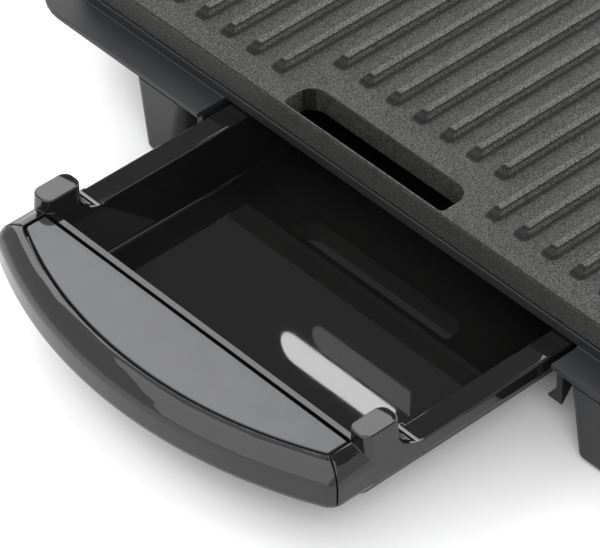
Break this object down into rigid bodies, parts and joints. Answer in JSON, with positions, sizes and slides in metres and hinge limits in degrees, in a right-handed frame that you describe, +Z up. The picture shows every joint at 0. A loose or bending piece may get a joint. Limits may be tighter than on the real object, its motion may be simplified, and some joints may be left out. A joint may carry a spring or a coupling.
{
  "type": "electric griddle",
  "caption": "Low electric griddle: ribbed rectangular plate with a drain slot over a pull-out drip tray with a bowed handle, tapered legs and a rear control box with a dial.",
  "frame": {"origin": "centre of the footprint box, on the surface that the feet stand on, with the tray in the half-open rest position", "axes": "+Y runs from the drip tray (front) to the control box (rear), +X to the right as seen from the tray, +Z up"},
  "size_m": [0.328, 0.5656, 0.0456],
  "materials": {
    "nonstick": "speckled dark grey non-stick coating, satin",
    "base_plastic": "satin dark grey moulded plastic",
    "tray_plastic": "glossy black moulded plastic",
    "inlay": "satin mid grey insert",
    "black_nylon": "black nylon",
    "rubber": "matt black rubber",
    "element_steel": "heat-darkened steel sheath",
    "zinc_steel": "zinc-plated steel",
    "aluminised": "bright aluminised sheet",
    "ceramic": "off-white ceramic or thermoset",
    "brass": "plain brass",
    "copper": "plain copper",
    "red_lens": "clear red lens",
    "green_lens": "clear green lens",
    "white_print": "white insert",
    "wire_brown": "brown insulation",
    "wire_blue": "blue insulation",
    "wire_earth": "green and yellow insulation"
  },
  "bodies": {
    "griddle": {"grill_plate": "nonstick", "housing": "base_plastic", "bottom_cover": "base_plastic", "guide_rail_left": "black_nylon", "guide_rail_right": "black_nylon", "heating_element": "element_steel", "element_pin_left": "zinc_steel", "element_pin_right": "zinc_steel", "heat_reflector": "aluminised", "sensor_bulb": "copper", "capillary_tube": "copper", "sensor_clip": "zinc_steel", "thermal_fuse": "zinc_steel", "control_box": "base_plastic", "control_cover": "base_plastic", "thermostat": "ceramic", "power_lamp": "red_lens", "ready_lamp": "green_lens", "inlet_socket": "black_nylon", "inlet_pin_line": "brass", "inlet_pin_earth": "brass", "inlet_pin_neutral": "brass", "terminal_block": "ceramic", "wire_line": "wire_brown", "wire_neutral": "wire_blue", "wire_earth": "wire_earth", "lead_left": "wire_brown", "lead_right": "wire_blue", "plate_screw_1": "zinc_steel", "cover_screw_1": "zinc_steel", "element_clamp_1": "zinc_steel", "plate_screw_2": "zinc_steel", "cover_screw_2": "zinc_steel", "element_clamp_2": "zinc_steel", "plate_screw_3": "zinc_steel", "cover_screw_3": "zinc_steel", "element_clamp_3": "zinc_steel", "plate_screw_4": "zinc_steel", "cover_screw_4": "zinc_steel", "element_clamp_4": "zinc_steel", "reflector_screw_1": "zinc_steel", "reflector_screw_2": "zinc_steel", "leg_front_left": "base_plastic", "foot_front_left": "rubber", "leg_screw_front_left": "zinc_steel", "leg_front_right": "base_plastic", "foot_front_right": "rubber", "leg_screw_front_right": "zinc_steel", "leg_rear_left": "base_plastic", "foot_rear_left": "rubber", "leg_screw_rear_left": "zinc_steel", "leg_rear_right": "base_plastic", "foot_rear_right": "rubber", "leg_screw_rear_right": "zinc_steel"},
    "tray": {"drip_tray": "tray_plastic", "handle_front": "tray_plastic", "handle_inlay": "inlay"},
    "knob": {"control_knob": "black_nylon", "knob_shaft": "zinc_steel", "knob_pointer": "white_print"}
  },
  "joints": [
    {"name": "tray_slide", "type": "slide", "parent": "griddle", "child": "tray", "axis": [0, -1, 0], "range_m": [-0.062, 0.045]},
    {"name": "knob_turn", "type": "hinge", "parent": "griddle", "child": "knob", "pos_m": [0, 0.26055, 0.036], "axis": [0, 0, -1], "range_deg": [0, 270]}
  ]
}
